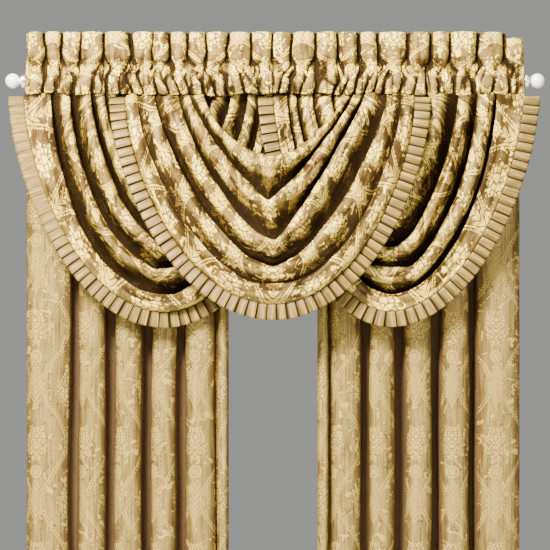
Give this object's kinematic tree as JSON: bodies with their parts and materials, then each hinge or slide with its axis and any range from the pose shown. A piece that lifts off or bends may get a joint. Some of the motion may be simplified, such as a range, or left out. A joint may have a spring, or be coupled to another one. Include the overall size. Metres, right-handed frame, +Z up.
{
  "type": "swag drape and curtains on a double rod",
  "caption": "Gathered rod-pocket valance of overlapping swags with pleated edging, above a pair of long gathered curtains, on a double rod with ball finials.",
  "frame": {"origin": "on the wall plane, midway between the two brackets and level with the rods' centres", "axes": "+Z up, +X to the right seen from the room, -Y out from the wall into the room"},
  "size_m": [1.6612, 0.274, 2.238],
  "materials": {
    "gold_damask": "woven damask with a satin ground",
    "panel_damask": "woven damask with fine upright stripes",
    "edging_satin": "plain fine-striped satin in knife pleats",
    "satin_nickel": "satin",
    "pearl_ball": "gloss"
  },
  "bodies": {
    "root": {"heading": "gold_damask", "swag_left": "gold_damask", "swag_right": "gold_damask", "swag_centre": "gold_damask", "edging_left": "edging_satin", "edging_right": "edging_satin", "edging_centre": "edging_satin", "panel_left": "panel_damask", "panel_right": "panel_damask", "front_rod": "satin_nickel", "rear_rod": "satin_nickel", "finial_left": "pearl_ball", "finial_right": "pearl_ball", "bracket_left": "satin_nickel", "bracket_right": "satin_nickel"}
  },
  "joints": []
}
